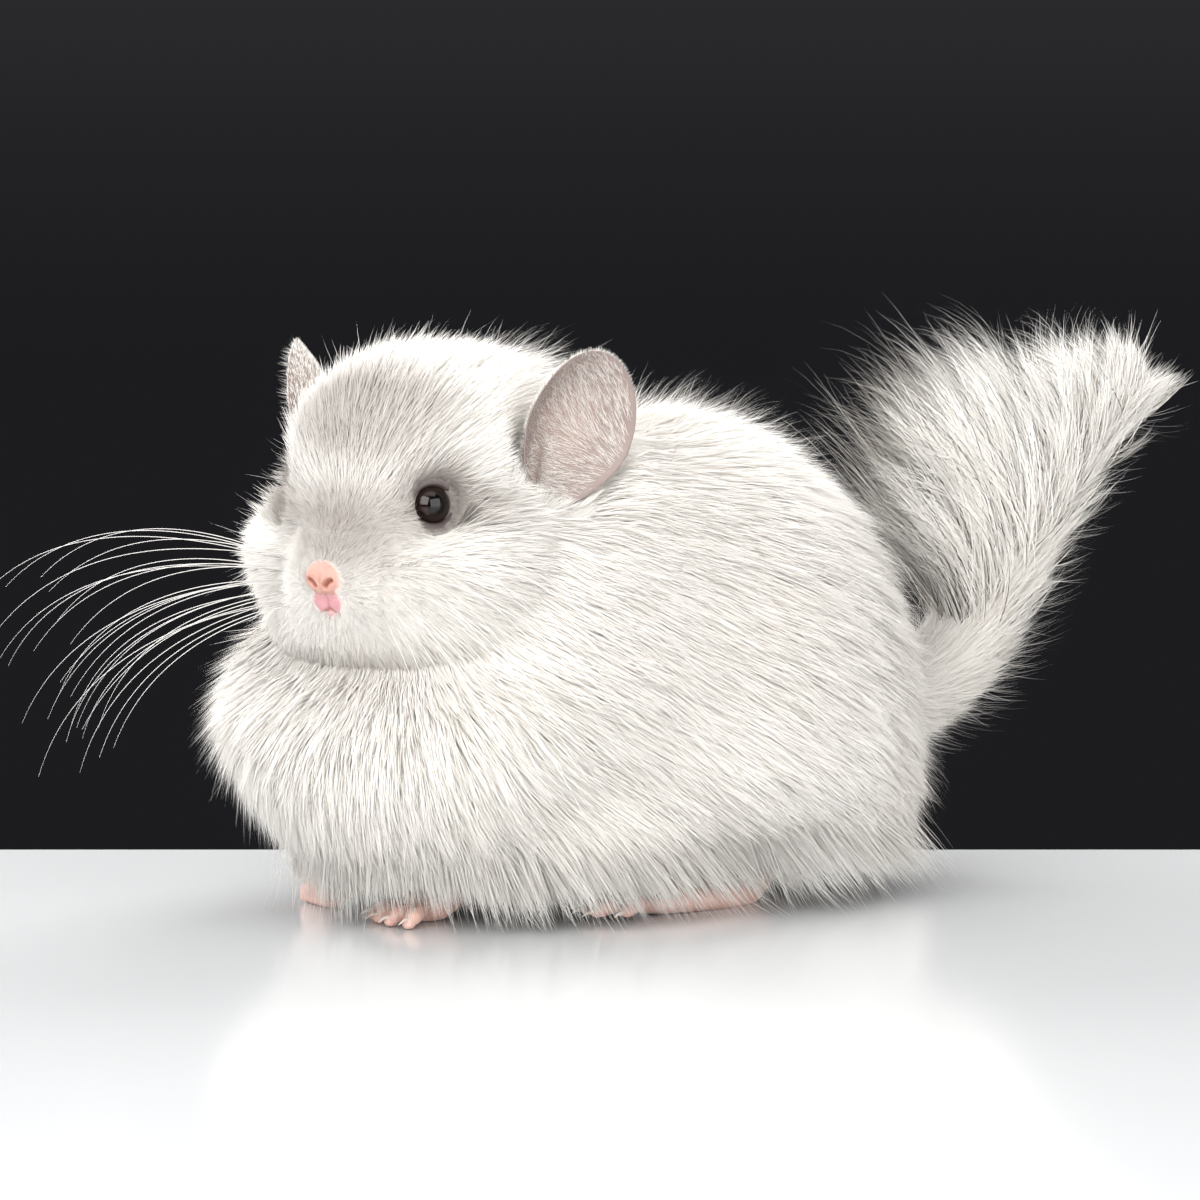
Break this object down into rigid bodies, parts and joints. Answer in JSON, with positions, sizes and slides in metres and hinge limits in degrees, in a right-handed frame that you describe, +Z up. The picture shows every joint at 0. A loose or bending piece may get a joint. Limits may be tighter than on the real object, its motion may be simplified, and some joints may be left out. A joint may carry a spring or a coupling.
{
  "type": "chinchilla figure",
  "caption": "Life-size still figure of a pale plush-coated chinchilla, low on all fours with its bushy tail raised and its face turned to its left.",
  "frame": {"origin": "under the middle of the animal's bounding box, at floor height", "axes": "+Z up, -Y the way the animal faces, +X the animal's own left"},
  "size_m": [0.224, 0.3952, 0.1731],
  "materials": {
    "coat": "matte",
    "face": "matte",
    "plume": "matte",
    "ear_skin": "satin",
    "paw_skin": "satin",
    "eye": "gloss"
  },
  "bodies": {
    "root": {"torso": "coat", "neck": "coat", "head": "face", "whisker_pad_left": "coat", "whisker_pad_right": "coat", "ear_left": "ear_skin", "ear_right": "ear_skin", "eye_left": "eye", "eye_right": "eye", "front_leg_left": "paw_skin", "front_leg_right": "paw_skin", "hind_foot_left": "paw_skin", "hind_foot_right": "paw_skin", "tail_root": "coat", "tail_middle": "plume", "tail_tip": "plume"}
  },
  "joints": []
}
